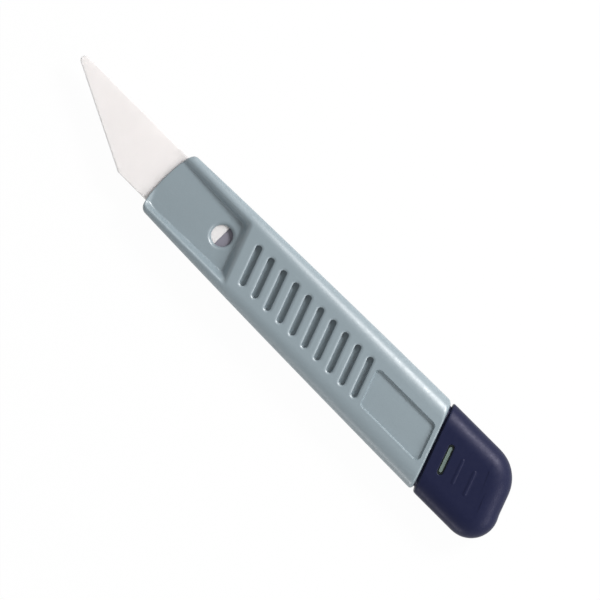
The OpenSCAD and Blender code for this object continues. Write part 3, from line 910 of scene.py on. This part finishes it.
def stage_floor():
    """White floor that keeps the shadow, seen through from below."""
    low = cad_box[0].z
    mesh = bpy.data.meshes.new("floor")
    sides = [(-1, -1), (1, -1), (1, 1), (-1, 1)]
    corners = [(x * FLOOR_REACH, y * FLOOR_REACH, low) for x, y in sides]
    mesh.from_pydata(corners, [], [(0, 1, 2, 3)])
    floor = new_object("floor", mesh)
    material = bpy.data.materials.new("floor_white")
    material.use_nodes = True
    tree = material.node_tree
    tree.nodes.clear()
    link = tree.links.new
    output = tree.nodes.new("ShaderNodeOutputMaterial")
    paper = tree.nodes.new("ShaderNodeBsdfDiffuse")
    paper.inputs["Color"].default_value = FLOOR_COLOUR
    glow = tree.nodes.new("ShaderNodeEmission")
    glow.inputs["Strength"].default_value = 1
    rays = tree.nodes.new("ShaderNodeLightPath").outputs
    seen = combined(tree, "MAXIMUM", rays["Is Camera Ray"], rays["Is Glossy Ray"])
    seen = combined(tree, "MAXIMUM", seen, rays["Is Transmission Ray"])
    mix = tree.nodes.new("ShaderNodeMixShader")
    link(combined(tree, "MULTIPLY", seen, FLOOR_GLOW), mix.inputs[0])
    link(paper.outputs[0], mix.inputs[1])
    link(glow.outputs[0], mix.inputs[2])
    under = tree.nodes.new("ShaderNodeMixShader")
    clear = tree.nodes.new("ShaderNodeBsdfTransparent")
    side = tree.nodes.new("ShaderNodeNewGeometry")
    link(side.outputs["Backfacing"], under.inputs[0])
    link(mix.outputs[0], under.inputs[1])
    link(clear.outputs[0], under.inputs[2])
    link(under.outputs[0], output.inputs["Surface"])
    mesh.materials.append(material)


def stage_world():
    """Studio light, dimmer overhead than round the sides, with a white backdrop for what looks at it."""
    world = bpy.data.worlds.new("studio")
    bpy.context.scene.world = world
    world.use_nodes = True
    tree = world.node_tree
    tree.nodes.clear()
    link = tree.links.new
    output = tree.nodes.new("ShaderNodeOutputWorld")
    room = tree.nodes.new("ShaderNodeBackground")
    backdrop = tree.nodes.new("ShaderNodeBackground")
    backdrop.inputs["Color"].default_value = (1, 1, 1, 1)
    backdrop.inputs["Strength"].default_value = 1
    direction = tree.nodes.new("ShaderNodeTexCoord")
    split = tree.nodes.new("ShaderNodeSeparateXYZ")
    link(direction.outputs["Generated"], split.inputs[0])

    def by_height(low, high, at_low, at_high):
        """Value that changes from one height in the room to another."""
        scale = tree.nodes.new("ShaderNodeMapRange")
        for key, number in (("From Min", low), ("From Max", high), ("To Min", at_low), ("To Max", at_high)):
            scale.inputs[key].default_value = number
        link(split.outputs["Z"], scale.inputs["Value"])
        return scale.outputs["Result"]

    dimmer = tree.nodes.new("ShaderNodeVectorMath")
    dimmer.operation = "DOT_PRODUCT"
    dimmer.inputs[1].default_value = DIM_SIDE
    link(direction.outputs["Generated"], dimmer.inputs[0])
    level = by_height(*LIGHT_HEIGHTS, SIDE_LIGHT, OVERHEAD_LIGHT)
    shaded = combined(tree, "MULTIPLY", level, dimmer.outputs["Value"])
    link(combined(tree, "SUBTRACT", level, shaded), room.inputs["Strength"])
    rays = tree.nodes.new("ShaderNodeLightPath").outputs
    mirrored = combined(tree, "MULTIPLY", rays["Is Glossy Ray"], by_height(*BACKDROP_HEIGHTS, 1, 0))
    seen = combined(tree, "MAXIMUM", rays["Is Camera Ray"], rays["Is Transmission Ray"])
    mix = tree.nodes.new("ShaderNodeMixShader")
    link(combined(tree, "MAXIMUM", seen, mirrored), mix.inputs[0])
    link(room.outputs[0], mix.inputs[1])
    link(backdrop.outputs[0], mix.inputs[2])
    link(mix.outputs[0], output.inputs["Surface"])


def soft_box(name, at, aim, size, power):
    """Rectangular lamp at a place, turned to a point."""
    lamp = bpy.data.lights.new(name, "AREA")
    lamp.shape = "RECTANGLE"
    lamp.size, lamp.size_y = size
    lamp.energy = power
    made = bpy.data.objects.new(name, lamp)
    made.location = at
    back = Vector(at) - Vector(aim)
    made.rotation_euler = back.to_track_quat("Z", "Y").to_euler()
    bpy.context.scene.collection.objects.link(made)


def stage_camera():
    """Camera straight above, turned so that the tip points up and to the left."""
    aim = Vector((*CAMERA_AIM, MID)) * MM
    data = bpy.data.cameras.new("camera")
    data.lens = CAMERA_LENS
    data.sensor_width = CAMERA_SENSOR
    distance = VIEW_W * MM * data.lens / data.sensor_width
    camera = bpy.data.objects.new("camera", data)
    turn = math.sqrt(0.5)
    right, up = Vector((-turn, -turn, 0)), Vector((turn, -turn, 0))
    camera.matrix_world = Matrix((
        (right.x, up.x, 0, aim.x), (right.y, up.y, 0, aim.y), (0, 0, 1, aim.z + distance), (0, 0, 0, 1)))
    data.clip_start = CAMERA_NEAR * MM
    bpy.context.scene.collection.objects.link(camera)
    bpy.context.scene.camera = camera


stage_camera()
stage_floor()
stage_world()
soft_box("key", at=(-0.18, -0.54, 0.48), aim=(-0.03, 0, 0), size=(0.22, 0.2), power=4.4)
soft_box("rear", at=(-0.62, -0.1, 0.4), aim=(-0.05, 0, 0), size=(0.3, 0.2), power=1.2)
soft_box("fill", at=(-0.19, 0.62, 0.1), aim=(-0.07, 0, 0), size=(0.16, 0.1), power=0.7)
bpy.context.scene.view_settings.view_transform = "Standard"

grey = moulded_plastic("grey_plastic", (0.245, 0.3, 0.33), roughness=0.34, gloss=0.9)
# The latch is the handle's grey plastic, tinted greener and made darker. The darkening is painted shade for
# the slot the latch sits in.
latch_grey_painted_shade = moulded_plastic("latch_plastic", (0.17, 0.225, 0.2), roughness=0.34, gloss=0.4)
navy = moulded_plastic("navy_plastic", (0.011, 0.0138, 0.0415), roughness=0.38, gloss=0.2,
                       sheen=(0.86, 0.82, 1))
inner_grey = moulded_plastic("inner_plastic", (0.24, 0.28, 0.31), roughness=0.45, gloss=0.5)
purple_grey = moulded_plastic("block_plastic", (0.26, 0.25, 0.3), roughness=0.5, gloss=0.4)
ceramic = ground_ceramic("white_ceramic", (0.85, 0.818, 0.808))
steel = rolled_steel("spring_steel", (0.6, 0.6, 0.6))
rivet = rolled_steel("rivet_steel", (0.5, 0.5, 0.5))

sleeve = build_sleeve()
sleeve.data.materials.append(grey)
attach(sleeve, "handle")
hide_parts("handle_sleeve")

cap = build_cap()
cap.data.materials.append(navy)
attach(cap, "cap")
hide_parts("end_cap")

blade = build_blade()
blade.data.materials.append(ceramic)
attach(blade, "blade")
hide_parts("ceramic_blade")

dress("spare_blade", ceramic, bevel=0.00008)
dress("blade_block", purple_grey, bevel=0.00012)
dress("spare_tray", inner_grey, bevel=0.00015)
dress("latch_tongue", latch_grey_painted_shade, bevel=0.0004)
dress("clamp_spring", steel)
dress("spring_rivets", rivet, bevel=0.0001)
